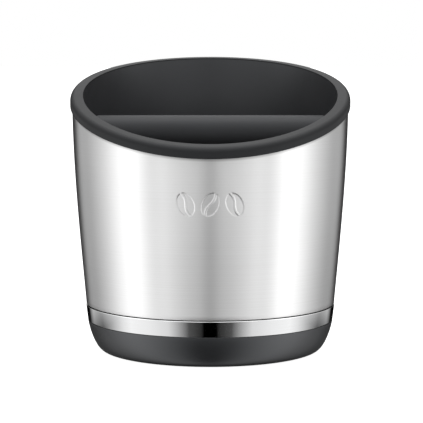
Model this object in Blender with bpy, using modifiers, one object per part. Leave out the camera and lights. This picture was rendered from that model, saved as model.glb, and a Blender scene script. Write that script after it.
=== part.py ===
"""Countertop knock box: a slanted steel drum on a dark base, with a dark rim,
a moulded inner bin and a padded knock bar that lifts out of two saddles.

Frame: +Z up, the low side of the mouth faces -Y, X runs along the knock bar.
The origin is on the counter, under the middle of the body.
Run with: blender --background --python part.py
"""

import math

import bmesh
import bpy

# ---------------------------------------------------------------- dimensions
MM = 0.001
GAP = 0.3                 # clearance between pieces that touch, mm

SEGMENTS = 48             # round every piece that is coaxial with the body
BAR_SEGMENTS = 32

RIM_R = 86.0              # outside of the rim
CREASE_R = 78.0           # inside edge of the rim's top face
RIM_PLATE = 2.2           # thickness of the rim's top plate
RIM_LIP = 0.9             # thickness of the plate at its inner edge
RIM_ROUND = 3.5           # radius of the rim's shoulder
RIM_SKIRT = 6.2           # height of the rim's outer skirt
SKIRT_INNER_R = 85.1

SHELL_T = 0.8             # steel sheet
SHELL_BOTTOM = 29.9

BIN_WALL = 2.4
BIN_FLOOR_TOP = 12.0
BIN_FLOOR_BOTTOM = 9.6
FLANGE_R = 84.7
FLANGE_T = 1.6

TRAY_FLOOR = (3.6, 6.0)
TRAY_R = 73.4             # outside of the tray's upright wall
TRAY_TOP = 36.0
LEDGE_R = 75.3
LEDGE = (24.8, 27.7)

BAND_BOTTOM = 19.95
BAND_TOP = 29.4           # top of the band's lip
BAND_FLANGE = (28.0, 28.55)
BAND_R = (75.91, 77.07)   # outside radius at the bottom and at the top
BAND_T = 0.65

BOOT_BOTTOM = 0.86
BOOT_FLOOR_TOP = 3.3

FOOT_R = (46.0, 57.0)
FOOT_T = 2.4

SCREW_CIRCLE_R = 38.0
SCREW_ANGLES = (45.0, 135.0, 225.0, 315.0)

BAR_Z = 133.5             # axis of the knock bar
BAR_R = 12.0
BAR_HALF = 70.0           # half the length of the sleeve and its core
CAP_END = 75.6
CORE_R = (5.0, 7.0)

SADDLE_R = 17.0
SADDLE_TOP = 137.0
SADDLE_X = 70.9
PAD_R = (12.3, 13.6)


def crest(y):
    """Height of the mouth's slanted, slightly domed edge at depth y, mm."""
    return 159.75 + 0.302 * y - 0.00054 * y * y


def depth_at(radius, sine):
    """Depth that sets the height of a point of the mouth.

    The rim's top face leans less across its width than along the mouth, so its
    inner edge is read a third of the way out towards the rim's outside.
    """
    reach = max(radius, CREASE_R)
    return (reach + 0.33 * (RIM_R - reach)) * sine


CREST_0 = crest(0.0)


def shell_r(z):
    """Outer radius of the steel body at height z, mm: it swells towards the top."""
    h = (150.0 - z) / 100.0
    return 84.716 - 1.2517 * h - 6.9545 * h * h + 2.1014 * h ** 3


def bin_r(z):
    """Inner radius of the bin at height z, mm: upright at the mouth, tapered below."""
    if z >= 130.0:
        return CREASE_R
    return CREASE_R - 12.0 * ((130.0 - z) / 100.0) ** 1.3


# ------------------------------------------------------------------- helpers
for item in list(bpy.data.objects):
    bpy.data.objects.remove(item, do_unlink=True)
for item in list(bpy.data.meshes):
    bpy.data.meshes.remove(item)

scene = bpy.context.scene
parts = bpy.data.collections.new("knock_box")
cutters = bpy.data.collections.new("cutters")
scene.collection.children.link(parts)
scene.collection.children.link(cutters)


def material(name, color, roughness, metallic=0.0):
    mat = bpy.data.materials.new(name)
    mat.use_nodes = True
    shader = mat.node_tree.nodes["Principled BSDF"]
    shader.inputs["Base Color"].default_value = (*color, 1.0)
    shader.inputs["Roughness"].default_value = roughness
    shader.inputs["Metallic"].default_value = metallic
    mat.diffuse_color = (*color, 1.0)
    return mat


STEEL = material("brushed_steel", (0.62, 0.62, 0.63), 0.32, 1.0)
CHROME = material("polished_steel", (0.75, 0.75, 0.76), 0.08, 1.0)
DARK = material("dark_plastic", (0.045, 0.046, 0.05), 0.55)
SOFT = material("dark_rubber", (0.035, 0.036, 0.04), 0.75)
BLACK = material("black_seal", (0.01, 0.01, 0.01), 0.8)
ZINC = material("zinc_screw", (0.5, 0.5, 0.52), 0.35, 1.0)


def link(obj, collection, mat=None):
    collection.objects.link(obj)
    if mat is not None:
        obj.data.materials.clear()
        obj.data.materials.append(mat)
    return obj


def smooth(obj, degrees=35.0):
    obj.data.shade_smooth()
    obj.data.set_sharp_from_angle(angle=math.radians(degrees))


def profile_object(name, points, closed):
    """An edge profile in the XZ plane, given as (radius, height) in mm."""
    mesh = bpy.data.meshes.new(name)
    edges = [(i, i + 1) for i in range(len(points) - 1)]
    if closed:
        edges.append((len(points) - 1, 0))
    mesh.from_pydata([(r * MM, 0.0, z * MM) for r, z in points], edges, [])
    return bpy.data.objects.new(name, mesh)


def add_screw(obj, steps):
    screw = obj.modifiers.new("Turn", "SCREW")
    screw.axis = "Z"
    screw.angle = math.tau
    screw.steps = steps
    screw.render_steps = steps
    screw.use_merge_vertices = True
    screw.merge_threshold = 0.00001
    screw.use_smooth_shade = True
    return screw


def mesh_of(obj):
    """The object's evaluated mesh, as a new mesh."""
    bpy.context.view_layer.update()
    graph = bpy.context.evaluated_depsgraph_get()
    return bpy.data.meshes.new_from_object(obj.evaluated_get(graph))


def turned(name, points, closed, mat, steps=SEGMENTS, collection=parts):
    """A solid of revolution whose profile stays a live Screw modifier."""
    obj = link(profile_object(name, points, closed), collection, mat)
    add_screw(obj, steps)
    return obj


def turned_mesh(name, points, closed, steps=SEGMENTS):
    """A solid of revolution as a plain mesh, ready to be reshaped."""
    obj = link(profile_object(name + "_profile", points, closed), cutters)
    add_screw(obj, steps)
    mesh = mesh_of(obj)
    bpy.data.objects.remove(obj, do_unlink=True)
    mesh.name = name
    work = bmesh.new()
    work.from_mesh(mesh)
    bmesh.ops.remove_doubles(work, verts=work.verts, dist=0.00001)
    bmesh.ops.recalc_face_normals(work, faces=work.faces)
    work.to_mesh(mesh)
    work.free()
    return mesh


def slanted(mesh, low, high, radius_at=None):
    """Shift a turned mesh to the slanted mouth.

    Heights below low stay where they are, heights above high move with the
    crest, and those between are stretched. radius_at(radius, height) gives the
    radius of a point once its height is known.
    """
    for vert in mesh.vertices:
        x, y, z = (c / MM for c in vert.co)
        flat = math.hypot(x, y)
        if flat < 0.01:
            continue
        weight = min(max((z - low) / (high - low), 0.0), 1.0)
        radius, height = flat, z
        for _ in range(6):
            height = z + weight * (crest(depth_at(radius, y / flat)) - CREST_0)
            if radius_at is not None:
                radius = radius_at(flat, height)
        vert.co = (radius * x / flat * MM, radius * y / flat * MM, height * MM)
    mesh.update()
    return mesh


def cylinder(name, radius, low, high, centres, collection=cutters, sides=24):
    """Upright cylinders of one size at several (x, y), as one mesh."""
    mesh = bpy.data.meshes.new(name)
    work = bmesh.new()
    for x, y in centres:
        made = bmesh.ops.create_cone(
            work, cap_ends=True, cap_tris=False, segments=sides,
            radius1=radius * MM, radius2=radius * MM, depth=(high - low) * MM)
        bmesh.ops.translate(
            work, verts=made["verts"], vec=(x * MM, y * MM, (low + high) / 2 * MM))
    work.to_mesh(mesh)
    work.free()
    return link(bpy.data.objects.new(name, mesh), collection)


def helper(obj):
    obj.hide_render = True
    obj.display_type = "WIRE"
    return obj


def boolean(obj, other, operation):
    mod = obj.modifiers.new(operation.title() + "_" + other.name, "BOOLEAN")
    mod.operation = operation
    mod.solver = "EXACT"
    mod.object = other
    return mod


def outline_mesh(name, points, low, high):
    """A flat outline in the YZ plane, mm, extruded along X from low to high."""
    curve = bpy.data.curves.new(name + "_outline", "CURVE")
    curve.dimensions = "2D"
    curve.fill_mode = "BOTH"
    curve.extrude = (high - low) / 2 * MM
    spline = curve.splines.new("POLY")
    spline.points.add(len(points) - 1)
    for point, (u, v) in zip(spline.points, points):
        point.co = (u * MM, v * MM, 0.0, 1.0)
    spline.use_cyclic_u = True
    obj = link(bpy.data.objects.new(name + "_outline", curve), cutters)
    obj.rotation_euler = (math.pi / 2, 0.0, math.pi / 2)
    obj.location = ((low + high) / 2 * MM, 0.0, 0.0)
    mesh = mesh_of(obj)
    mesh.transform(obj.matrix_world)
    bpy.data.objects.remove(obj, do_unlink=True)
    mesh.name = name
    work = bmesh.new()
    work.from_mesh(mesh)
    bmesh.ops.remove_doubles(work, verts=work.verts, dist=0.00001)
    bmesh.ops.recalc_face_normals(work, faces=work.faces)
    work.to_mesh(mesh)
    work.free()
    return mesh


def arc(centre_z, radius, start, end, count):
    """Points of an arc in the YZ plane about the bar's line, degrees."""
    out = []
    for i in range(count + 1):
        a = math.radians(start + (end - start) * i / count)
        out.append((radius * math.cos(a), centre_z + radius * math.sin(a)))
    return out


# ------------------------------------------------------------ the steel shell
# One open sheet that follows the body's swelling side, thickened inwards.
rows = 9
top = CREST_0 - RIM_PLATE - GAP - FLANGE_T - GAP
sheet_profile = [(80.0, top + (SHELL_BOTTOM - top) * i / rows) for i in range(rows + 1)]
sheet = slanted(
    turned_mesh("outer_shell", sheet_profile, False), SHELL_BOTTOM, top,
    lambda flat, z: shell_r(z))
outer_shell = link(bpy.data.objects.new("outer_shell", sheet), parts, STEEL)
work = bmesh.new()
work.from_mesh(sheet)
bmesh.ops.recalc_face_normals(work, faces=work.faces)
middle = max(work.faces, key=lambda f: f.calc_center_median().x)
if middle.normal.x < 0:
    bmesh.ops.reverse_faces(work, faces=work.faces)
work.to_mesh(sheet)
work.free()
thick = outer_shell.modifiers.new("Sheet", "SOLIDIFY")
thick.thickness = SHELL_T * MM
thick.offset = -1.0
smooth(outer_shell)

# ------------------------------------------------------------------- the rim
z = CREST_0
shoulder = []
for i in range(6):
    a = math.radians(90.0 * i / 5)
    shoulder.append((RIM_R - RIM_ROUND + RIM_ROUND * math.sin(a), z - RIM_ROUND + RIM_ROUND * math.cos(a)))
rim_profile = [(CREASE_R + 0.4, z)] + shoulder + [
    (RIM_R, z - RIM_SKIRT + 1.1), (85.7, z - RIM_SKIRT + 0.3), (85.5, z - RIM_SKIRT),
    (SKIRT_INNER_R, z - RIM_SKIRT), (SKIRT_INNER_R, z - 3.7), (83.6, z - RIM_PLATE),
    (80.0, z - RIM_PLATE), (CREASE_R, z - RIM_LIP), (CREASE_R, z - 0.4),
]
rim_mesh = slanted(turned_mesh("rim_ring", rim_profile, True), 0.0, 1.0)
rim_ring = link(bpy.data.objects.new("rim_ring", rim_mesh), parts, DARK)
smooth(rim_ring)

# ------------------------------------------------------------- the inner bin
# A tapered cup with a rounded foot. Its flange lies on the shell's top edge.
floor_fillet = []
for i in range(5):
    a = math.radians(90.0 * i / 5)
    floor_fillet.append((53.0 + 12.0 * math.sin(a), 24.0 - 12.0 * math.cos(a)))
under_fillet = []
for i in range(5):
    a = math.radians(90.0 * i / 5)
    under_fillet.append((53.0 + 14.4 * math.sin(a), 24.0 - 14.4 * math.cos(a)))
wall_rows = [24.0, 42.0, 62.0, 82.0, 100.0, 114.0, 128.0, 142.0]
flange_top = CREST_0 - RIM_PLATE - GAP
inside = [(bin_r(h), h) for h in wall_rows] + [(CREASE_R, CREST_0 - RIM_LIP - 0.36), (79.9, flange_top)]
outside = [(bin_r(h) + BIN_WALL, h) for h in reversed(wall_rows)]
bin_profile = (
    [(0.0, BIN_FLOOR_TOP), (30.0, BIN_FLOOR_TOP)] + floor_fillet + inside
    + [(83.4, flange_top), (FLANGE_R, flange_top - 1.3), (FLANGE_R, flange_top - FLANGE_T),
       (CREASE_R + BIN_WALL, flange_top - FLANGE_T)]
    + outside + list(reversed(under_fillet)) + [(30.0, BIN_FLOOR_BOTTOM), (0.0, BIN_FLOOR_BOTTOM)]
)


bin_mesh = slanted(
    turned_mesh("inner_bin", bin_profile, False), 90.0, flange_top - FLANGE_T)
inner_bin = link(bpy.data.objects.new("inner_bin", bin_mesh), parts, DARK)

around = [(SCREW_CIRCLE_R * math.cos(math.radians(a)), SCREW_CIRCLE_R * math.sin(math.radians(a)))
          for a in SCREW_ANGLES]
bosses = helper(cylinder("bin_bosses", 4.5, TRAY_FLOOR[1] + GAP, 10.8, around))
boolean(inner_bin, bosses, "UNION")
pilot = helper(cylinder("bin_pilot_holes", 2.0, 5.0, 10.8 - 0.2, around, sides=16))

# The saddles: two U-shaped brackets that grow out of the wall under the bar.
saddle_outline = (
    [(SADDLE_R, SADDLE_TOP)] + [(-SADDLE_R, SADDLE_TOP)]
    + arc(BAR_Z, SADDLE_R, 180.0, 360.0, 16)
)
slot_outline = (
    [(PAD_R[1] + GAP, SADDLE_TOP + 8.0)] + [(-PAD_R[1] - GAP, SADDLE_TOP + 8.0)]
    + arc(BAR_Z, PAD_R[1] + GAP, 180.0, 360.0, 16)
)
keep = helper(cylinder("bin_wall_line", 78.9, 100.0, 150.0, [(0.0, 0.0)], sides=SEGMENTS))
for side, sign in (("right", 1.0), ("left", -1.0)):
    span = sorted((sign * SADDLE_X, sign * 80.5))
    bracket = link(bpy.data.objects.new(
        "bin_saddle_" + side, outline_mesh("bin_saddle_" + side, saddle_outline, *span)), cutters)
    boolean(bracket, keep, "INTERSECT")
    cut_span = sorted((sign * (SADDLE_X - 2.0), sign * 76.3))
    slot = helper(link(bpy.data.objects.new(
        "bin_slot_" + side, outline_mesh("bin_slot_" + side, slot_outline, *cut_span)), cutters))
    boolean(bracket, slot, "DIFFERENCE")
    boolean(inner_bin, helper(bracket), "UNION")
boolean(inner_bin, pilot, "DIFFERENCE")
smooth(inner_bin)

# ------------------------------------------------- pads that cushion the bar
pad_outline = (
    arc(BAR_Z, PAD_R[1], 180.0, 360.0, 16) + [(PAD_R[1], SADDLE_TOP + 0.4)]
    + [(PAD_R[0], SADDLE_TOP + 0.4)] + arc(BAR_Z, PAD_R[0], 360.0, 180.0, 16)
    + [(-PAD_R[0], SADDLE_TOP + 0.4), (-PAD_R[1], SADDLE_TOP + 0.4)]
)
for side, sign in (("left", -1.0), ("right", 1.0)):
    name = "saddle_pad_" + side
    span = sorted((sign * (SADDLE_X + 0.2), sign * 76.0))
    pad = link(bpy.data.objects.new(name, outline_mesh(name, pad_outline, *span)), parts, SOFT)
    smooth(pad)

# ---------------------------------------------------------------- the gasket
# Its upstand centres the shell's lower edge, and its foot sits on the band's flange.
turned("shell_gasket", [
    (75.1, 36.5), (75.4, SHELL_BOTTOM), (75.4, SHELL_BOTTOM - GAP), (75.95, SHELL_BOTTOM - GAP),
    (75.95, BAND_FLANGE[1] + GAP), (73.7, BAND_FLANGE[1] + GAP), (73.7, 36.5),
], True, BLACK)

# ------------------------------------------------------------- the trim band
def band_r(z):
    return BAND_R[0] + (BAND_R[1] - BAND_R[0]) * (z - BAND_BOTTOM) / (BAND_TOP - BAND_BOTTOM)


turned("trim_band", [
    (76.7, BAND_TOP), (76.95, BAND_TOP - 0.15), (band_r(BAND_TOP - 0.4), BAND_TOP - 0.4),
    (BAND_R[0], BAND_BOTTOM), (BAND_R[0] - BAND_T, BAND_BOTTOM), (76.2, BAND_FLANGE[0]),
    (73.75, BAND_FLANGE[0]), (73.75, BAND_FLANGE[1]), (76.3, BAND_FLANGE[1]), (76.3, BAND_TOP),
], True, CHROME)

# -------------------------------------------------------------- the base tray
turned("base_tray", [
    (0.0, TRAY_FLOOR[1]), (34.0, TRAY_FLOOR[1]), (62.5, TRAY_FLOOR[1]), (66.5, 8.4), (69.5, 12.6),
    (71.4, 19.0), (71.4, TRAY_TOP),
    (TRAY_R, TRAY_TOP), (TRAY_R, LEDGE[1]), (LEDGE_R, LEDGE[1]), (LEDGE_R, LEDGE[0]),
    (TRAY_R, LEDGE[0]), (TRAY_R, 20.0), (72.2, 14.0), (70.6, 10.0), (68.9, 7.0), (67.2, 5.0),
    (65.0, TRAY_FLOOR[0]), (34.0, TRAY_FLOOR[0]), (0.0, TRAY_FLOOR[0]),
], False, DARK)
tray = bpy.data.objects["base_tray"]
boolean(tray, helper(cylinder("tray_screw_holes", 2.2, 2.0, 8.0, around, sides=16)), "DIFFERENCE")

# ------------------------------------------------------------ the base boot
# A cup that wraps the tray, rounded under, with a groove for the foot ring
# and four openings that give access to the screws.
side = []
for i in range(13):                       # the rounded side, one cubic curve
    t = i / 12
    p = [(75.9, BAND_BOTTOM - 0.4), (75.06, 14.0), (71.05, BOOT_BOTTOM), (65.56, BOOT_BOTTOM)]
    w = [(1 - t) ** 3, 3 * (1 - t) ** 2 * t, 3 * (1 - t) * t * t, t ** 3]
    side.append(tuple(sum(wk * pk[n] for wk, pk in zip(w, p)) for n in (0, 1)))
turned("base_boot", [
    (0.0, BOOT_FLOOR_TOP), (40.0, BOOT_FLOOR_TOP), (65.1, BOOT_FLOOR_TOP), (67.5, 4.8), (69.2, 6.8),
    (70.9, 9.8), (72.5, 13.8), (TRAY_R + GAP, 19.9), (TRAY_R + GAP, LEDGE[0] - GAP),
    (75.0, LEDGE[0] - GAP), (75.0, BAND_BOTTOM - GAP), (75.7, BAND_BOTTOM - GAP),
] + side + [
    (FOOT_R[1] + GAP, BOOT_BOTTOM), (FOOT_R[1] + GAP, FOOT_T + GAP),
    (FOOT_R[0] - GAP, FOOT_T + GAP), (FOOT_R[0] - GAP, BOOT_BOTTOM), (0.0, BOOT_BOTTOM),
], False, SOFT)
boot = bpy.data.objects["base_boot"]
boolean(boot, helper(cylinder("boot_access_holes", 5.0, 0.0, 5.0, around)), "DIFFERENCE")

# ------------------------------------------------------------ the foot ring
turned("foot_ring", [
    (FOOT_R[0] + 0.5, FOOT_T), (FOOT_R[1] - 0.5, FOOT_T), (FOOT_R[1], FOOT_T - 0.5),
    (FOOT_R[1], 0.8), (FOOT_R[1] - 0.8, 0.0), (FOOT_R[0] + 0.8, 0.0), (FOOT_R[0], 0.8),
    (FOOT_R[0], FOOT_T - 0.5),
], True, SOFT)

# ------------------------------------------------------------- the screws
# Pan-head screws with a cross recess, pulled up through the tray into the bin.
screw = link(profile_object("screw", [
    (0.0, 10.1), (1.0, 10.1), (1.7, 9.3), (1.7, BOOT_FLOOR_TOP), (3.6, BOOT_FLOOR_TOP),
    (3.6, 2.2), (3.0, 1.5), (0.0, 1.4),
], False), cutters)
add_screw(screw, 16)
cross = bpy.data.meshes.new("screw_recess")
work = bmesh.new()
for wide, deep in ((3.8, 0.8), (0.8, 3.8)):
    made = bmesh.ops.create_cube(work, size=1.0)
    bmesh.ops.scale(work, verts=made["verts"], vec=(wide * MM, deep * MM, 1.8 * MM))
    bmesh.ops.translate(work, verts=made["verts"], vec=(0.0, 0.0, 1.5 * MM))
work.to_mesh(cross)
work.free()
recess = helper(link(bpy.data.objects.new("screw_recess", cross), cutters))
mod = boolean(screw, recess, "DIFFERENCE")
mod.use_self = True
one = mesh_of(screw)
bpy.data.objects.remove(screw, do_unlink=True)
bpy.data.objects.remove(recess, do_unlink=True)
one.name = "base_screw"
smoothed = False
for number, (x, y) in enumerate(around, start=1):
    fixing = link(bpy.data.objects.new("base_screw_%d" % number, one), parts)
    fixing.location = (x * MM, y * MM, 0.0)
    if not smoothed:
        one.materials.clear()
        one.materials.append(ZINC)
        smooth(fixing)
        smoothed = True

# ------------------------------------------------------------ the knock bar
# The pieces of the bar hang from an empty on its axis, and the bar lifts
# straight up out of the saddles.
bar_axis = bpy.data.objects.new("bar_axis", None)
bar_axis.location = (0.0, 0.0, BAR_Z * MM)
parts.objects.link(bar_axis)
b = BAR_HALF
bar_core = turned("bar_core", [
    (CORE_R[1], b), (CORE_R[1], -b), (CORE_R[0], -b), (CORE_R[0], b)], True, STEEL, BAR_SEGMENTS)
bar_sleeve = turned("bar_sleeve", [
    (BAR_R - 0.6, b), (BAR_R, b - 0.6), (BAR_R, -b + 0.6), (BAR_R - 0.6, -b),
    (CORE_R[1] + GAP, -b), (CORE_R[1] + GAP, b)], True, SOFT, BAR_SEGMENTS)
cap_profile = [
    (0.0, CAP_END), (BAR_R - 0.9, CAP_END), (BAR_R, CAP_END - 0.9), (BAR_R, b + GAP),
    (CORE_R[0] - GAP, b + GAP), (CORE_R[0] - GAP, b - 9.5), (CORE_R[0] - 0.8, b - 10.0),
    (0.0, b - 10.0)]
cap_left = turned("bar_cap_left", cap_profile, False, DARK, BAR_SEGMENTS)
cap_right = turned("bar_cap_right", cap_profile, False, DARK, BAR_SEGMENTS)
for obj, turn in ((bar_core, 1.0), (bar_sleeve, 1.0), (cap_right, 1.0), (cap_left, -1.0)):
    obj.parent = bar_axis
    obj.rotation_euler = (0.0, turn * math.pi / 2, 0.0)
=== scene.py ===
import math

import bmesh
import bpy
from mathutils import Matrix, Vector, noise


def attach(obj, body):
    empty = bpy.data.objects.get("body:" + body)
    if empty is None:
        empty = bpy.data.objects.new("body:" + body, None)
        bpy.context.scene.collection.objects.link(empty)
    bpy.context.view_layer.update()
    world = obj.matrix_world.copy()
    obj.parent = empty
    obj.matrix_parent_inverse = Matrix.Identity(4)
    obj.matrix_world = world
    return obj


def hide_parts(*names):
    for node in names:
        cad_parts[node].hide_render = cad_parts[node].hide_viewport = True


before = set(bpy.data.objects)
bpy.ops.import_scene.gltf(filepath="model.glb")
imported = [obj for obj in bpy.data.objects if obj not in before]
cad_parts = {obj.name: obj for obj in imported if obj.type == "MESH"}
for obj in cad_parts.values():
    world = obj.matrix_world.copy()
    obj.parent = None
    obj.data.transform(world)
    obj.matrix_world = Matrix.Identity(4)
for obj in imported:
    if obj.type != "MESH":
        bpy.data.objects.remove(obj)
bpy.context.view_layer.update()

MM = 0.001
TAU = math.tau

# ------------------------------------------------------------ the CAD's rules
BAR_Z = 133.5
GAP = 0.3


def crest(y):
    return 159.75 + 0.302 * y - 0.00054 * y * y


def depth_at(radius, sine):
    reach = max(radius, 78.0)
    return (reach + 0.33 * (86.0 - reach)) * sine


CREST_0 = crest(0.0)


def shell_r(z):
    h = (150.0 - z) / 100.0
    return 84.716 - 1.2517 * h - 6.9545 * h * h + 2.1014 * h ** 3


def bin_r(z):
    if z >= 130.0:
        return 78.0
    return 78.0 - 12.0 * ((130.0 - z) / 100.0) ** 1.3


# ------------------------------------------------------------------ materials
def new_material(name):
    mat = bpy.data.materials.new(name)
    mat.use_nodes = True
    tree = mat.node_tree
    return mat, tree, tree.nodes["Principled BSDF"]


def node(tree, kind, **settings):
    made = tree.nodes.new(kind)
    for key, value in settings.items():
        if key.startswith("in_"):
            made.inputs[int(key[3:]) if key[3:].isdigit() else key[3:].replace("_", " ")].default_value = value
        else:
            setattr(made, key, value)
    return made


def object_coords(tree, scale):
    coords = node(tree, "ShaderNodeTexCoord")
    mapping = node(tree, "ShaderNodeMapping")
    mapping.inputs["Scale"].default_value = scale
    tree.links.new(coords.outputs["Object"], mapping.inputs["Vector"])
    return mapping.outputs["Vector"]


def noise_of(tree, vector, scale=1.0, detail=2.0, rough=0.5):
    tex = node(tree, "ShaderNodeTexNoise")
    tex.inputs["Scale"].default_value = scale
    tex.inputs["Detail"].default_value = detail
    tex.inputs["Roughness"].default_value = rough
    tree.links.new(vector, tex.inputs["Vector"])
    return tex.outputs["Fac"]


def ramp_of(tree, value, stops, interpolation="LINEAR"):
    ramp = node(tree, "ShaderNodeValToRGB")
    ramp.color_ramp.interpolation = interpolation
    items = ramp.color_ramp.elements
    while len(items) > 1:
        items.remove(items[-1])
    items[0].position = stops[0][0]
    items[0].color = stops[0][1]
    for place, color in stops[1:]:
        items.new(place).color = color
    tree.links.new(value, ramp.inputs["Fac"])
    return ramp.outputs["Color"]


def range_of(tree, value, low, high, out_low, out_high):
    item = node(tree, "ShaderNodeMapRange")
    item.inputs["From Min"].default_value = low
    item.inputs["From Max"].default_value = high
    item.inputs["To Min"].default_value = out_low
    item.inputs["To Max"].default_value = out_high
    tree.links.new(value, item.inputs["Value"])
    return item.outputs["Result"]


def bump_of(tree, height, strength, distance, normal=None):
    bump = node(tree, "ShaderNodeBump")
    bump.inputs["Strength"].default_value = strength
    bump.inputs["Distance"].default_value = distance
    tree.links.new(height, bump.inputs["Height"])
    if normal is not None:
        tree.links.new(normal, bump.inputs["Normal"])
    return bump.outputs["Normal"]


def mixed(tree, a, b, factor, operation="MIX"):
    mix = node(tree, "ShaderNodeMix", data_type="RGBA", blend_type=operation)
    if isinstance(factor, float):
        mix.inputs["Factor"].default_value = factor
    else:
        tree.links.new(factor, mix.inputs["Factor"])
    tree.links.new(a, mix.inputs["A"])
    tree.links.new(b, mix.inputs["B"])
    return mix.outputs["Result"]


def grey(value, tint=(1.0, 1.0, 1.0)):
    return (value * tint[0], value * tint[1], value * tint[2], 1.0)


def painted_rim_shade(tree):
    """Painted shade under the slanted rim: 1 on open steel, falling to 0.45 in the last 2.1 mm under it, a shadow of
    the rim painted into the colour.
    """
    split = node(tree, "ShaderNodeSeparateXYZ")
    tree.links.new(object_coords(tree, (1.0, 1.0, 1.0)), split.inputs[0])

    def calc(operation, a, b):
        item = node(tree, "ShaderNodeMath", operation=operation)
        for socket, value in zip(item.inputs, (a, b)):
            if isinstance(value, float):
                socket.default_value = value
            else:
                tree.links.new(value, socket)
        return item.outputs[0]

    y, z = split.outputs[1], split.outputs[2]
    edge = calc("ADD", calc("MULTIPLY", y, 0.3065), calc("MULTIPLY", calc("MULTIPLY", y, y), -0.553))
    drop = calc("SUBTRACT", calc("ADD", edge, (CREST_0 - 6.2) * MM), z)
    return range_of(tree, drop, 0.0, 0.0021, 0.45, 1.0)


def brushed_steel(name, base, rough, aniso, direction="Z", streak=(7.0, 7.0, 4200.0), paint_rim_shade=False):
    """Steel brushed round the axis: long hair lines in colour, gloss and bump, with an optional painted shade that
    darkens the colour just under the rim.
    """
    mat, tree, shader = new_material(name)
    fine = noise_of(tree, object_coords(tree, streak), 1.0, 3.0, 0.65)
    wide = noise_of(tree, object_coords(tree, tuple(s * 0.33 for s in streak)), 1.0, 2.0, 0.5)
    cloud = noise_of(tree, object_coords(tree, (26.0, 26.0, 26.0)), 1.0, 2.0, 0.5)
    lines = node(tree, "ShaderNodeMath", operation="ADD")
    tree.links.new(range_of(tree, fine, 0.3, 0.7, 0.0, 0.65), lines.inputs[0])
    tree.links.new(range_of(tree, wide, 0.3, 0.7, 0.0, 0.35), lines.inputs[1])
    color = ramp_of(tree, lines.outputs[0], [
        (0.0, grey(base * 0.955, (1.0, 0.998, 0.99))),
        (0.5, grey(base)),
        (1.0, grey(base * 1.04, (0.995, 1.0, 1.0)))])
    # Painted shade: the colour is mixed towards black just under the rim, standing in for the rim's shadow on the
    # steel.
    if paint_rim_shade:
        dark = ramp_of(tree, lines.outputs[0], [(0.0, grey(0.0)), (1.0, grey(0.0))])
        color = mixed(tree, dark, color, painted_rim_shade(tree))
    tree.links.new(color, shader.inputs["Base Color"])
    shader.inputs["Metallic"].default_value = 1.0
    both = node(tree, "ShaderNodeMath", operation="ADD")
    tree.links.new(range_of(tree, lines.outputs[0], 0.0, 1.0, rough - 0.03, rough + 0.03), both.inputs[0])
    tree.links.new(range_of(tree, cloud, 0.3, 0.7, -0.012, 0.012), both.inputs[1])
    tree.links.new(both.outputs[0], shader.inputs["Roughness"])
    shader.inputs["Anisotropic"].default_value = aniso
    shader.inputs["Anisotropic Rotation"].default_value = 0.25
    tangent = node(tree, "ShaderNodeTangent", direction_type="RADIAL", axis=direction)
    tree.links.new(tangent.outputs["Tangent"], shader.inputs["Tangent"])
    tree.links.new(bump_of(tree, lines.outputs[0], 0.07, 0.00001), shader.inputs["Normal"])
    return mat


def polished_steel(name, base, rough):
    mat, tree, shader = new_material(name)
    hair = noise_of(tree, object_coords(tree, (30.0, 30.0, 1800.0)), 1.0, 2.0, 0.6)
    cloud = noise_of(tree, object_coords(tree, (35.0, 35.0, 35.0)), 1.0, 3.0, 0.5)
    color = ramp_of(tree, hair, [(0.3, grey(base * 0.97)), (0.7, grey(base, (0.99, 1.0, 1.01)))])
    tree.links.new(color, shader.inputs["Base Color"])
    shader.inputs["Metallic"].default_value = 1.0
    tree.links.new(range_of(tree, cloud, 0.3, 0.7, rough * 0.8, rough * 1.3), shader.inputs["Roughness"])
    tree.links.new(bump_of(tree, hair, 0.03, 0.00001), shader.inputs["Normal"])
    return mat


def moulded(name, base, rough, grain=2600.0, bump=0.10, tint=(0.97, 0.99, 1.05), specular=0.5):
    """Moulded plastic: eroded-mould grain, faint flow clouding and gloss change."""
    mat, tree, shader = new_material(name)
    fine = noise_of(tree, object_coords(tree, (grain,) * 3), 1.0, 3.0, 0.6)
    cloud = noise_of(tree, object_coords(tree, (38.0,) * 3), 1.0, 3.0, 0.55)
    low = ramp_of(tree, cloud, [(0.25, grey(base * 0.93, tint)), (0.75, grey(base * 1.07, tint))])
    speck = ramp_of(tree, fine, [(0.25, grey(0.90)), (0.75, grey(1.0))])
    tree.links.new(mixed(tree, low, speck, 1.0, "MULTIPLY"), shader.inputs["Base Color"])
    both = node(tree, "ShaderNodeMath", operation="ADD")
    tree.links.new(range_of(tree, fine, 0.25, 0.75, rough - 0.04, rough + 0.04), both.inputs[0])
    tree.links.new(range_of(tree, cloud, 0.25, 0.75, -0.02, 0.02), both.inputs[1])
    tree.links.new(both.outputs[0], shader.inputs["Roughness"])
    shader.inputs["Specular IOR Level"].default_value = specular
    shader.inputs["Specular Tint"].default_value = (0.94, 0.965, 1.0, 1.0)
    tree.links.new(bump_of(tree, fine, bump, 0.00004), shader.inputs["Normal"])
    return mat


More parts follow.
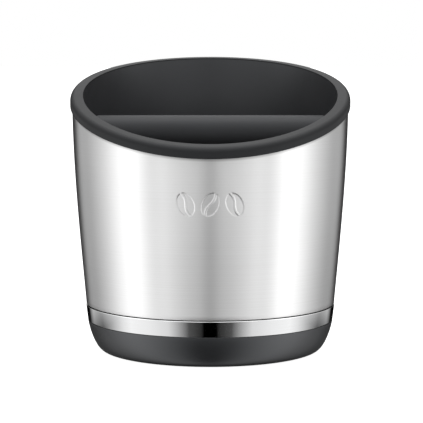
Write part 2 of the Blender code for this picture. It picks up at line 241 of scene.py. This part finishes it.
# The shell's steel carries a painted shade under the rim in its colour.
SHELL_STEEL = brushed_steel("brushed_steel_shell", 0.66, 0.36, 0.85, paint_rim_shade=True)
CORE_STEEL = brushed_steel("drawn_steel_core", 0.55, 0.30, 0.5, "X", (4200.0, 7.0, 7.0))
BAND_STEEL = polished_steel("polished_steel_band", 0.76, 0.03)
RIM_PLASTIC = moulded("rim_satin_plastic", 0.013, 0.50, specular=0.24)
BIN_PLASTIC = moulded("bin_satin_plastic", 0.033, 0.40, grain=1900.0, specular=0.40)
TRAY_PLASTIC = moulded("tray_plastic", 0.045, 0.55)
BASE_RUBBER = moulded("base_soft_plastic", 0.019, 0.31, grain=3000.0, bump=0.08, tint=(0.95, 0.99, 1.08), specular=0.85)
FOOT_RUBBER = moulded("foot_rubber", 0.035, 0.75, grain=1500.0, bump=0.25)
BAR_RUBBER = moulded("bar_rubber", 0.034, 0.48, grain=2200.0, bump=0.12, specular=0.2)
PAD_RUBBER = moulded("pad_rubber", 0.030, 0.7, grain=1800.0, bump=0.2)
SEAL_BLACK = moulded("seal_rubber", 0.006, 0.8, grain=1500.0, bump=0.2)
SCREW_ZINC = polished_steel("zinc_plated_screw", 0.55, 0.28)


# --------------------------------------------------------------------- meshes
def rounded(points, closed=False, steps=5):
    """A profile of (radius, height, corner radius) with its corners turned to arcs."""
    out = []
    count = len(points)
    for i, point in enumerate(points):
        p = Vector(point[:2])
        size = point[2] if len(point) > 2 else 0.0
        if size <= 0.0 or (not closed and i in (0, count - 1)):
            out.append(tuple(p))
            continue
        a = Vector(points[(i - 1) % count][:2])
        b = Vector(points[(i + 1) % count][:2])
        to_a, to_b = (a - p).normalized(), (b - p).normalized()
        half = math.acos(max(-1.0, min(1.0, to_a.dot(to_b)))) / 2.0
        if half < 0.02 or half > math.pi / 2 - 0.02:
            out.append(tuple(p))
            continue
        reach = min(size / math.tan(half), (a - p).length * 0.49, (b - p).length * 0.49)
        radius = reach * math.tan(half)
        centre = p + (to_a + to_b).normalized() * (radius / math.sin(half))
        start, end = p + to_a * reach - centre, p + to_b * reach - centre
        turn = math.atan2(start.x * end.y - start.y * end.x, start.dot(end))
        for k in range(steps + 1):
            t = turn * k / steps
            c, s = math.cos(t), math.sin(t)
            out.append((centre.x + start.x * c - start.y * s, centre.y + start.x * s + start.y * c))
    return out


def even(n, start=-math.pi / 2):
    return [start + TAU * i / n for i in range(n)]


def lathe(name, profile, closed, angles, place=None, axis="Z", offset=0.0):
    """A turned solid. place(radius, height, angle) moves each point, in mm."""
    work = bmesh.new()
    rings = []
    for r, z in profile:
        if r < 1e-6:
            rings.append([work.verts.new((0.0, 0.0, z * MM))])
            continue
        ring = []
        for a in angles:
            rr, zz = (r, z) if place is None else place(r, z, a)
            ring.append(work.verts.new((rr * math.cos(a) * MM, rr * math.sin(a) * MM, zz * MM)))
        rings.append(ring)
    pairs = list(zip(rings, rings[1:])) + ([(rings[-1], rings[0])] if closed else [])
    n = len(angles)
    for one, two in pairs:
        if len(one) == 1 and len(two) == 1:
            continue
        for i in range(n):
            j = (i + 1) % n
            if len(one) == 1:
                work.faces.new((one[0], two[i], two[j]))
            elif len(two) == 1:
                work.faces.new((one[i], two[0], one[j]))
            else:
                work.faces.new((one[i], two[i], two[j], one[j]))
    bmesh.ops.recalc_face_normals(work, faces=work.faces)
    if work.calc_volume(signed=True) < 0:
        bmesh.ops.reverse_faces(work, faces=work.faces)
    mesh = bpy.data.meshes.new(name)
    work.to_mesh(mesh)
    work.free()
    if axis == "X":
        mesh.transform(Matrix.Translation((0.0, 0.0, BAR_Z * MM)) @ Matrix.Rotation(math.pi / 2, 4, "Y"))
    elif axis == "-X":
        mesh.transform(Matrix.Translation((0.0, 0.0, BAR_Z * MM)) @ Matrix.Rotation(-math.pi / 2, 4, "Y"))
    return mesh


def show(mesh, mat, angle=28.0):
    obj = bpy.data.objects.new(mesh.name, mesh)
    bpy.context.scene.collection.objects.link(obj)
    mesh.materials.clear()
    mesh.materials.append(mat)
    mesh.shade_smooth()
    mesh.set_sharp_from_angle(angle=math.radians(angle))
    return obj


def piece(obj, body, slot, *nodes):
    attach(obj, body)
    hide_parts(*nodes)
    return obj


def slant(low, high):
    """Shift heights to the slanted mouth: fixed under low, rigid over high."""
    def place(r, z, a):
        weight = min(max((z - low) / (high - low), 0.0), 1.0)
        return r, z + weight * (crest(depth_at(r, math.sin(a))) - CREST_0)
    return place


# ---- the emblem: three plain coffee beans, raised a little from the front
def bean(x, z, cx, cz, tilt, half_w, half_h):
    c, s = math.cos(tilt), math.sin(tilt)
    u = ((x - cx) * c + (z - cz) * s) / half_w
    v = (-(x - cx) * s + (z - cz) * c) / half_h
    d = (1.0 - math.sqrt(u * u + v * v)) * min(half_w, half_h)
    edge = min(max(d / 0.55 + 0.5, 0.0), 1.0)
    edge = edge * edge * (3.0 - 2.0 * edge)
    crease = abs(u - 0.20 * math.sin(v * 3.0)) * half_w
    cut = min(max((crease - 0.30) / 0.55, 0.0), 1.0)
    cut = cut * cut * (3.0 - 2.0 * cut)
    return edge * (0.12 + 0.88 * cut)


EMBLEM_Z = 97.5
EMBLEM_H = -0.24


def emblem(x, z):
    return max(
        bean(x, z, -14.0, EMBLEM_Z, math.radians(24), 4.7, 7.0),
        bean(x, z, 0.0, EMBLEM_Z, math.radians(-24), 4.7, 7.0),
        bean(x, z, 14.0, EMBLEM_Z, math.radians(24), 4.7, 7.0))


# ---- shell
def shell_angles():
    fine = [-math.pi / 2 + math.radians(17.0) * (i / 120.0 - 1.0) for i in range(240)]
    coarse_start = fine[-1] + math.radians(17.0 / 120.0)
    span = TAU - (coarse_start - fine[0])
    return fine + [coarse_start + span * i / 220.0 for i in range(220)]


SHELL_TOP = CREST_0 - 4.4
SHELL_LOW = 29.9
heights = []
z = SHELL_LOW + 0.5
while z < EMBLEM_Z - 10.0:
    heights.append(z)
    z += 2.2
z = EMBLEM_Z - 10.0
while z < EMBLEM_Z + 10.0:
    heights.append(z)
    z += 0.28
while z < SHELL_TOP - 0.2:
    heights.append(z)
    z += 2.2
heights.append(SHELL_TOP)


def shell_place(r, z, a):
    # r holds how far the point lies inside the outer surface
    weight = min(max((z - 112.0) / (SHELL_TOP - 112.0), 0.0), 1.0)
    rr, zz = 84.0, z
    for _ in range(6):
        zz = z + weight * (crest(depth_at(rr, math.sin(a))) - CREST_0)
        rr = shell_r(zz)
    depth = r - 1.0
    if depth < 0.05 and math.sin(a) < -0.9:
        rr += EMBLEM_H * emblem(rr * math.cos(a), zz)
    return rr - depth, zz


outer = [(1.0, h) for h in reversed(heights)]
inner = [(1.8, h) for h in (SHELL_LOW + 0.4, 45.0, 60.0, 75.0, 90.0, 105.0, 120.0, 135.0, 148.0, SHELL_TOP)]
hem = [(1.08, SHELL_LOW + 0.2), (1.25, SHELL_LOW), (1.55, SHELL_LOW), (1.72, SHELL_LOW + 0.12)]
shell_mesh = lathe("body_wrap", outer + hem + inner, True, shell_angles(), shell_place)
piece(show(shell_mesh, SHELL_STEEL), "body", "brushed_steel", "outer_shell")

# ---- rim
z0 = CREST_0
rim_profile = rounded([
    (78.0, z0, 0.5), (86.0, z0, 3.5), (86.0, z0 - 6.2, 0.9), (85.1, z0 - 6.2, 0.2),
    (85.1, z0 - 3.7), (83.6, z0 - 2.2), (80.0, z0 - 2.2), (78.0, z0 - 0.75)], True, 12)
rim_mesh = lathe("mouth_rim", rim_profile, True, even(256), slant(0.0, 1.0))
piece(show(rim_mesh, RIM_PLASTIC), "body", "dark_plastic", "rim_ring")

# ---- inner bin with its two saddles
flange = z0 - 2.24
steps_in = [24.0, 30.0, 36.0, 42.0, 50.0, 58.0, 66.0, 74.0, 82.0, 90.0, 97.0, 104.0, 110.0,
            116.0, 122.0, 128.0, 134.0, 140.0, 146.0, 151.0]
bin_profile = [(0.0, 12.0), (20.0, 12.0), (40.0, 12.0)]
for i in range(12):
    a = math.radians(90.0 * i / 12)
    bin_profile.append((53.0 + 12.0 * math.sin(a), 24.0 - 12.0 * math.cos(a)))
bin_profile += [(bin_r(h), h) for h in steps_in]
bin_profile += [(78.0, z0 - 0.79), (79.98, flange), (83.3, flange), (84.7, flange - 1.45), (84.7, flange - 1.7), (84.5, flange - 1.86),
                (81.0, flange - 1.86), (80.4, flange - 2.3)]
bin_profile += [(bin_r(h) + 2.4, h) for h in reversed(steps_in[:-1])]
for i in range(11, -1, -1):
    a = math.radians(90.0 * i / 12)
    bin_profile.append((53.0 + 14.4 * math.sin(a), 24.0 - 14.4 * math.cos(a)))
bin_profile += [(40.0, 9.6), (20.0, 9.6), (0.0, 9.6)]
bin_mesh = lathe("coffee_bin", bin_profile, False, even(192), slant(90.0, flange - 1.9))
bin_obj = show(bin_mesh, BIN_PLASTIC)


def prism(name, outline, low, high):
    """A YZ outline as a solid from x = low to x = high, mm."""
    work = bmesh.new()
    near = [work.verts.new((low * MM, y * MM, z * MM)) for y, z in outline]
    far = [work.verts.new((high * MM, y * MM, z * MM)) for y, z in outline]
    work.faces.new(near)
    work.faces.new(list(reversed(far)))
    for i in range(len(outline)):
        j = (i + 1) % len(outline)
        work.faces.new((near[i], far[i], far[j], near[j]))
    bmesh.ops.recalc_face_normals(work, faces=work.faces)
    if work.calc_volume(signed=True) < 0:
        bmesh.ops.reverse_faces(work, faces=work.faces)
    mesh = bpy.data.meshes.new(name)
    work.to_mesh(mesh)
    work.free()
    return mesh


def arc(radius, start, end, count):
    return [(radius * math.cos(math.radians(start + (end - start) * i / count)),
             BAR_Z + radius * math.sin(math.radians(start + (end - start) * i / count)))
            for i in range(count + 1)]


def temporary(mesh):
    obj = bpy.data.objects.new(mesh.name, mesh)
    bpy.context.scene.collection.objects.link(obj)
    return obj


def apply_boolean(obj, other, operation):
    mod = obj.modifiers.new("cut", "BOOLEAN")
    mod.operation = operation
    mod.solver = "EXACT"
    mod.object = other
    bpy.context.view_layer.update()
    graph = bpy.context.evaluated_depsgraph_get()
    mesh = bpy.data.meshes.new_from_object(obj.evaluated_get(graph))
    obj.modifiers.remove(mod)
    obj.data = mesh
    bpy.data.objects.remove(other, do_unlink=True)


wall_line = lathe("wall_line", [(0.0, 150.0), (78.9, 150.0), (78.9, 100.0), (0.0, 100.0)], False, even(192))
saddle_top = 137.0
saddle_outline = ([(17.0, saddle_top - 1.0), (16.7, saddle_top - 0.3), (16.0, saddle_top),
                   (-16.0, saddle_top), (-16.7, saddle_top - 0.3), (-17.0, saddle_top - 1.0)]
                  + arc(17.0, 180.0, 360.0, 40))
slot_outline = ([(13.9, saddle_top + 8.0), (-13.9, saddle_top + 8.0)] + arc(13.9, 180.0, 360.0, 40))
for side, sign in (("right", 1.0), ("left", -1.0)):
    low, high = sorted((sign * 70.9, sign * 80.5))
    bracket = temporary(prism("bracket_" + side, saddle_outline, low, high))
    apply_boolean(bracket, temporary(wall_line.copy()), "INTERSECT")
    low, high = sorted((sign * 68.9, sign * 76.3))
    apply_boolean(bracket, temporary(prism("slot_" + side, slot_outline, low, high)), "DIFFERENCE")
    apply_boolean(bin_obj, bracket, "UNION")
bin_obj.data.name = "coffee_bin"
bin_obj.data.materials.clear()
bin_obj.data.materials.append(BIN_PLASTIC)
bin_obj.data.shade_smooth()
bin_obj.data.set_sharp_from_angle(angle=math.radians(28.0))
piece(bin_obj, "body", "dark_plastic", "inner_bin")

# ---- pads in the saddles
pad_outline = (arc(13.6, 180.0, 360.0, 40) + [(13.6, saddle_top + 0.2), (13.4, saddle_top + 0.4),
               (12.5, saddle_top + 0.4), (12.3, saddle_top + 0.2)] + arc(12.3, 360.0, 180.0, 40)
               + [(-12.3, saddle_top + 0.2), (-12.5, saddle_top + 0.4), (-13.4, saddle_top + 0.4),
                  (-13.6, saddle_top + 0.2)])
for side, sign in (("left", -1.0), ("right", 1.0)):
    low, high = sorted((sign * 71.1, sign * 76.0))
    piece(show(prism("bar_cushion_" + side, pad_outline, low, high), PAD_RUBBER),
          "body", "dark_rubber", "saddle_pad_" + side)

# ---- gasket, band, boot, foot ring
gasket = rounded([(75.1, 36.5, 0.15), (75.4, 30.3), (75.4, 29.6, 0.1), (75.95, 29.6, 0.15), (75.95, 28.85, 0.15),
                  (73.7, 28.85, 0.1), (73.7, 36.5, 0.3)], True, 4)
piece(show(lathe("seal_ring", gasket, True, even(256)), SEAL_BLACK), "body", "black_seal", "shell_gasket")



def band_r(z):
    return 75.91 + 1.16 * (z - 19.95) / 9.45


band = rounded([(band_r(29.4), 29.4, 0.2)] + [(band_r(h), h) for h in (29.0, 28.7, 27.0, 25.0, 23.0, 21.5, 20.5, 20.3)]
               + [(75.91, 19.95, 0.2), (75.3, 19.95, 0.15), (75.75, 23.8), (76.12, 27.3), (76.25, 28.0),
                  (73.75, 28.0, 0.15), (73.75, 28.55, 0.15), (76.3, 28.55), (76.3, 29.4, 0.1)], True, 7)
piece(show(lathe("polished_band", band, True, even(320)), BAND_STEEL, 50.0),
      "body", "polished_steel", "trim_band")

def bezier(points, count):
    out = []
    for i in range(count + 1):
        t = i / count
        weights = ((1 - t) ** 3, 3 * (1 - t) ** 2 * t, 3 * (1 - t) * t * t, t ** 3)
        out.append(tuple(sum(w * p[n] for w, p in zip(weights, points)) for n in (0, 1)))
    return out


boot = ([(0.0, 3.3), (40.0, 3.3), (65.1, 3.3), (67.5, 4.8), (69.2, 6.8), (70.9, 9.8), (72.5, 13.8),
         (73.7, 19.9), (73.7, 24.3), (73.9, 24.5), (74.8, 24.5), (75.0, 24.3), (75.0, 19.65),
         (75.6, 19.65), (75.82, 19.62)]
        + bezier([(75.9, 19.55), (75.06, 14.0), (71.05, 0.9), (65.56, 0.9)], 44)
        + [(57.6, 0.9), (57.3, 1.15), (57.3, 2.7), (45.7, 2.7), (45.7, 1.15), (45.4, 0.9), (0.0, 0.9)])
boot_obj = show(lathe("base_cup", boot, False, even(256)), BASE_RUBBER)
holes = bmesh.new()
AROUND = [(38.0 * math.cos(math.radians(a)), 38.0 * math.sin(math.radians(a))) for a in (45, 135, 225, 315)]
for x, y in AROUND:
    made = bmesh.ops.create_cone(holes, cap_ends=True, segments=48, radius1=5.0 * MM, radius2=5.0 * MM,
                                 depth=5.0 * MM)
    bmesh.ops.translate(holes, verts=made["verts"], vec=(x * MM, y * MM, 2.5 * MM))
hole_mesh = bpy.data.meshes.new("access_holes")
holes.to_mesh(hole_mesh)
holes.free()
apply_boolean(boot_obj, temporary(hole_mesh), "DIFFERENCE")
boot_obj.data.materials.clear()
boot_obj.data.materials.append(BASE_RUBBER)
boot_obj.data.shade_smooth()
boot_obj.data.set_sharp_from_angle(angle=math.radians(28.0))
piece(boot_obj, "body", "dark_rubber", "base_boot")

foot = rounded([(46.0, 2.4, 0.4), (57.0, 2.4, 0.4), (57.0, 0.0, 0.7), (46.0, 0.0, 0.7)], True, 5)
piece(show(lathe("grip_ring", foot, True, even(192)), FOOT_RUBBER), "body", "dark_rubber", "foot_ring")

# ---- screws
screw_profile = rounded([(0.0, 10.1), (1.0, 10.1, 0.1), (1.7, 9.3, 0.2), (1.7, 3.3, 0.2), (3.6, 3.3, 0.2),
                         (3.6, 2.1, 0.5), (2.9, 1.4, 0.9), (0.0, 1.4)], False, 4)
screw_mesh = lathe("screw", screw_profile, False, even(48))
cross = bmesh.new()
for wide, deep in ((3.8, 0.8), (0.8, 3.8)):
    work = bmesh.new()
    bmesh.ops.create_cube(work, size=1.0)
    bmesh.ops.scale(work, verts=work.verts, vec=(wide * MM, deep * MM, 1.8 * MM))
    bmesh.ops.translate(work, verts=work.verts, vec=(0.0, 0.0, 1.5 * MM))
    part = bpy.data.meshes.new("bar")
    work.to_mesh(part)
    work.free()
    base = temporary(screw_mesh)
    apply_boolean(base, temporary(part), "DIFFERENCE")
    screw_mesh = base.data
    bpy.data.objects.remove(base, do_unlink=True)
cross.free()
for number, (x, y) in enumerate(AROUND, start=1):
    mesh = screw_mesh.copy()
    mesh.transform(Matrix.Translation((x * MM, y * MM, 0.0)))
    mesh.name = "pan_head_screw_%d" % number
    piece(show(mesh, SCREW_ZINC, 35.0), "body", "screw_steel", "base_screw_%d" % number)

# ---- the knock bar
sleeve = rounded([(12.0, 70.0, 0.7), (12.0, -70.0, 0.7), (7.3, -70.0, 0.2), (7.3, 70.0, 0.2)], True, 6)
piece(show(lathe("padded_bar", sleeve, True, even(128), axis="X"), BAR_RUBBER),
      "knock_bar", "dark_rubber", "bar_sleeve")
core = rounded([(7.0, 70.0, 0.15), (7.0, -70.0, 0.15), (5.0, -70.0, 0.15), (5.0, 70.0, 0.15)], True, 3)
piece(show(lathe("steel_tube", core, True, even(96), axis="X"), CORE_STEEL),
      "knock_bar", "brushed_steel", "bar_core")
cap = rounded([(0.0, 75.6), (12.0, 75.6, 1.0), (12.0, 70.3, 0.25), (4.7, 70.3), (4.7, 60.5, 0.2),
               (4.2, 60.0), (0.0, 60.0)], False, 6)
for side, axis in (("right", "X"), ("left", "-X")):
    piece(show(lathe("bar_end_" + side, cap, False, even(128), axis=axis), RIM_PLASTIC),
          "knock_bar", "dark_plastic", "bar_cap_" + side)

# ---- the hidden tray keeps its CAD shape
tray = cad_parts["base_tray"]
tray.data.materials.clear()
tray.data.materials.append(TRAY_PLASTIC)

# ---------------------------------------------------------------- floor, light
floor_mesh = bpy.data.meshes.new("floor")
work = bmesh.new()
bmesh.ops.create_circle(work, cap_ends=True, segments=96, radius=30.0)
work.to_mesh(floor_mesh)
work.free()
floor = bpy.data.objects.new("floor", floor_mesh)
floor.location = (0.0, 0.0, -0.00005)
bpy.context.scene.collection.objects.link(floor)
floor_mat, floor_tree, floor_shader = new_material("pale_floor")
floor_shader.inputs["Base Color"].default_value = (0.50, 0.50, 0.50, 1.0)
floor_shader.inputs["Roughness"].default_value = 0.9
floor_shader.inputs["Specular IOR Level"].default_value = 0.0
floor_shader.inputs["Emission Color"].default_value = (1.0, 1.0, 1.0, 1.0)
floor_shader.inputs["Emission Strength"].default_value = 0.95
floor_mesh.materials.append(floor_mat)
floor.visible_glossy = False
floor.visible_diffuse = False

# A studio drawn as a field of light: a dark slot behind the camera, tall soft
# boxes to both sides, darkness behind the object and a wide light overhead.
world = bpy.data.worlds.new("studio")
bpy.context.scene.world = world
world.use_nodes = True
wt = world.node_tree
for item in list(wt.nodes):
    wt.nodes.remove(item)
coords = node(wt, "ShaderNodeTexCoord")
split = node(wt, "ShaderNodeSeparateXYZ")
wt.links.new(coords.outputs["Generated"], split.inputs[0])


def math_node(operation, a, b=None):
    item = node(wt, "ShaderNodeMath", operation=operation)
    for socket, value in zip(item.inputs, (a, b)):
        if value is None:
            continue
        if isinstance(value, (int, float)):
            socket.default_value = value
        else:
            wt.links.new(value, socket)
    return item.outputs[0]


x, y, z = split.outputs
flat = math_node("SQRT", math_node("ADD", math_node("MULTIPLY", x, x), math_node("MULTIPLY", y, y)))
facing = math_node("DIVIDE", math_node("MULTIPLY", y, -1.0), math_node("MAXIMUM", flat, 0.0001))
azimuth = math_node("DIVIDE", math_node("ARCCOSINE", math_node("MINIMUM", math_node("MAXIMUM", facing, -1.0), 1.0)), math.pi)
DEEP_LIGHT = [
    (0, 0.0), (8, 0.0), (20, 0.0), (30, 0.4), (40, 0.8), (60, 1.3), (80, 1.6), (98, 1.2),
    (113, 0.6), (127, 0.4), (142, 0.1), (180, 0.1)]
LOW_LIGHT = [
    (0, 0.0), (6, 0.0), (8, 0.03), (20, 0.1), (30, 0.5), (40, 0.9), (60, 1.1), (80, 1.2), (90, 1.0),
    (106, 0.5), (121, 0.1), (140, 0.05), (180, 0.05)]
MID_LIGHT = [
    (0, 0.7), (9, 1.5), (36, 1.6), (42, 1.8), (49, 1.3), (57, 1.7), (66, 2.6), (80, 2.3), (98, 1.4),
    (124, 0.7), (140, 0.7), (152, 0.0), (180, 0.0)]


def around(stops):
    return math_node("MULTIPLY", ramp_of(wt, azimuth, [
        (a / 180.0, (v / 2.0, v / 2.0, v / 2.0, 1.0)) for a, v in stops]), 2.0)


height = range_of(wt, z, -1.0, 1.0, 0.0, 1.0)


# A mirror ring round the axis throws the view lower in the middle than at its
# sides, so the edges between the bands of light rise towards the sides too.
half = math_node("SQRT", math_node("MAXIMUM", math_node("MULTIPLY", math_node("ADD", facing, 1.0), 0.5), 0.0))
lifted = range_of(wt, math_node("ADD", z, math_node("MULTIPLY", math_node("ADD", half, -1.0), 0.209)),
                  -1.0, 1.0, 0.0, 1.0)


def rising(stops, gain=1.0, value=None):
    return math_node("MULTIPLY", ramp_of(wt, height if value is None else value, [
        (a / 2.0 + 0.5, (v / gain, v / gain, v / gain, 1.0)) for a, v in stops]), gain)


deep_part = rising(((-1.0, 0.6), (-0.6, 1.0), (-0.45, 1.0), (-0.43, 0.0), (1.0, 0.0)), 1.0, lifted)
low_part = rising(((-1.0, 0.0), (-0.45, 0.0), (-0.43, 1.0), (-0.382, 1.0), (-0.362, 0.0), (1.0, 0.0)), 1.0, lifted)
mid_part = math_node("MULTIPLY", rising(((-1.0, 0.0), (-0.382, 0.0), (-0.362, 1.0), (1.0, 1.0)), 1.0, lifted),
                     rising(((-1.0, 1.0), (0.05, 1.0), (0.25, 0.35), (0.45, 0.3), (0.6, 0.1), (1.0, 0.0))))
top_part = rising(((-1.0, 0.0), (0.1, 0.0), (0.40, 0.03), (0.60, 0.88), (0.8, 1.10), (0.93, 2.0), (1.0, 2.1)), 2.2)
back_part = math_node("MULTIPLY", around([(0, 0.0), (162, 0.0), (172, 0.9), (180, 1.0)]),
                      rising(((-1.0, 0.0), (0.02, 0.0), (0.06, 1.0), (0.6, 1.0), (0.7, 0.0), (1.0, 0.0))))
low_light = math_node("ADD", math_node("MULTIPLY", around(LOW_LIGHT), low_part),
                      math_node("MULTIPLY", around(DEEP_LIGHT), deep_part))
total = math_node("ADD", low_light,
                  math_node("ADD", math_node("MULTIPLY", around(MID_LIGHT), mid_part),
                            math_node("ADD", top_part, back_part)))
path = node(wt, "ShaderNodeLightPath")
seen = node(wt, "ShaderNodeMix", data_type="RGBA")
wt.links.new(path.outputs["Is Camera Ray"], seen.inputs["Factor"])
wt.links.new(total, seen.inputs["A"])
seen.inputs["B"].default_value = (1.0, 1.0, 1.0, 1.0)
background = node(wt, "ShaderNodeBackground")
wt.links.new(seen.outputs["Result"], background.inputs["Color"])
output = node(wt, "ShaderNodeOutputWorld")
wt.links.new(background.outputs[0], output.inputs[0])


def softbox(name, place, target, size, power):
    data = bpy.data.lights.new(name, "AREA")
    data.shape = "RECTANGLE"
    data.size, data.size_y = size
    data.energy = power
    obj = bpy.data.objects.new(name, data)
    bpy.context.scene.collection.objects.link(obj)
    obj.location = place
    obj.rotation_euler = (Vector(target) - Vector(place)).to_track_quat("-Z", "Y").to_euler()
    obj.visible_camera = False
    return obj


softbox("overhead_softbox", (0.0, 0.25, 1.3), (0.0, 0.0, 0.1), (1.1, 0.7), 3.5)

# --------------------------------------------------------------------- camera
cam_data = bpy.data.cameras.new("camera")
cam_data.lens = 138.0
cam_data.sensor_width = 36.0
cam_data.clip_end = 200.0
cam = bpy.data.objects.new("camera", cam_data)
bpy.context.scene.collection.objects.link(cam)
cam.location = (0.00074, -1.0, 0.1806)
cam.rotation_euler = (math.radians(90.0 - 5.41), 0.0, 0.0)
bpy.context.scene.camera = cam

view = bpy.context.scene.view_settings
view.view_transform = "Standard"
view.look = "None"

bpy.context.view_layer.update()
